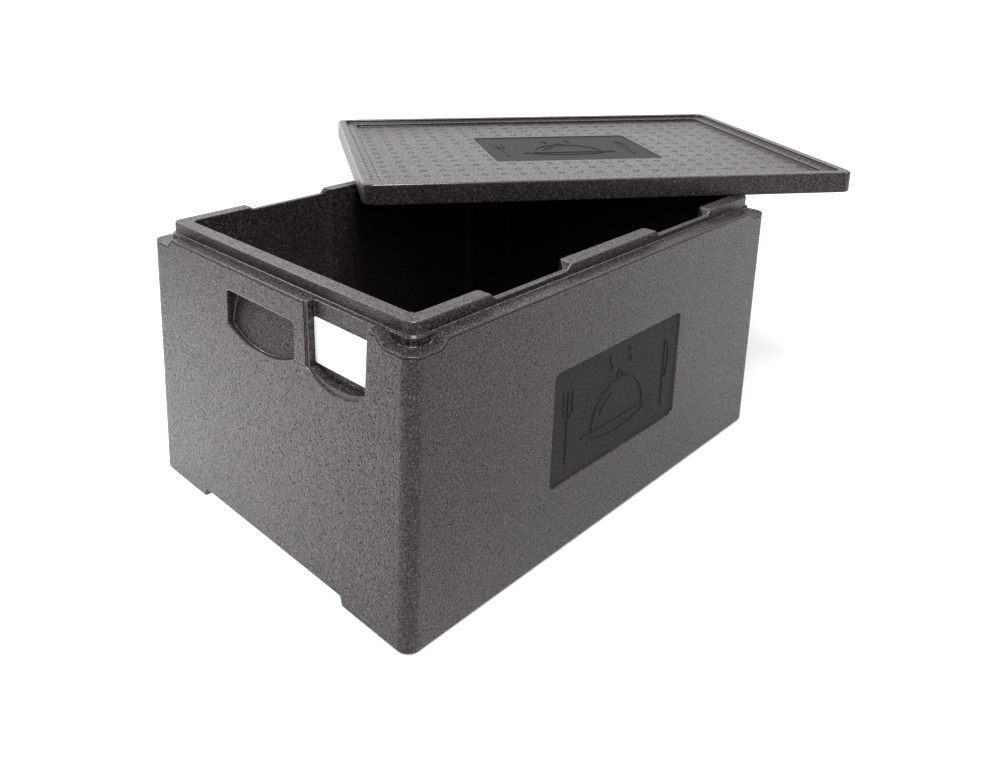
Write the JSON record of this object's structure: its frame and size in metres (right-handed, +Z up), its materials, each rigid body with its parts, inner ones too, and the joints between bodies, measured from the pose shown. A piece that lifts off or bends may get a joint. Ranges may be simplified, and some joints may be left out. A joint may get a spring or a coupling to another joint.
{
  "type": "insulated food carrier",
  "caption": "Moulded foam box with a loose lid lying askew on its rim, end grips and a write-on card, for carrying hot or cold food pans.",
  "frame": {"origin": "centre of the tub's 600 by 400 mm footprint, on the ground", "axes": "+Z up, X along the tub's long sides, Y across it; the card is in the -X end and the lid lies over the +X end"},
  "size_m": [0.9202, 0.6644, 0.3193],
  "materials": {
    "tub_foam": "moulded expanded polypropylene, satin bead skin",
    "lid_foam": "moulded expanded polypropylene, satin bead skin",
    "card": "matt write-on card"
  },
  "bodies": {
    "tub_body": {"tub": "tub_foam"},
    "lid_body": {"lid": "lid_foam"},
    "card_body": {"label_card": "card"}
  },
  "joints": [
    {"name": "lid_lift", "type": "slide", "parent": "tub_body", "child": "lid_body", "axis": [0, 0, 1], "range_m": [0, 0.3]},
    {"name": "card_pull", "type": "slide", "parent": "tub_body", "child": "card_body", "axis": [0, 0, 1], "range_m": [0, 0.065]}
  ]
}
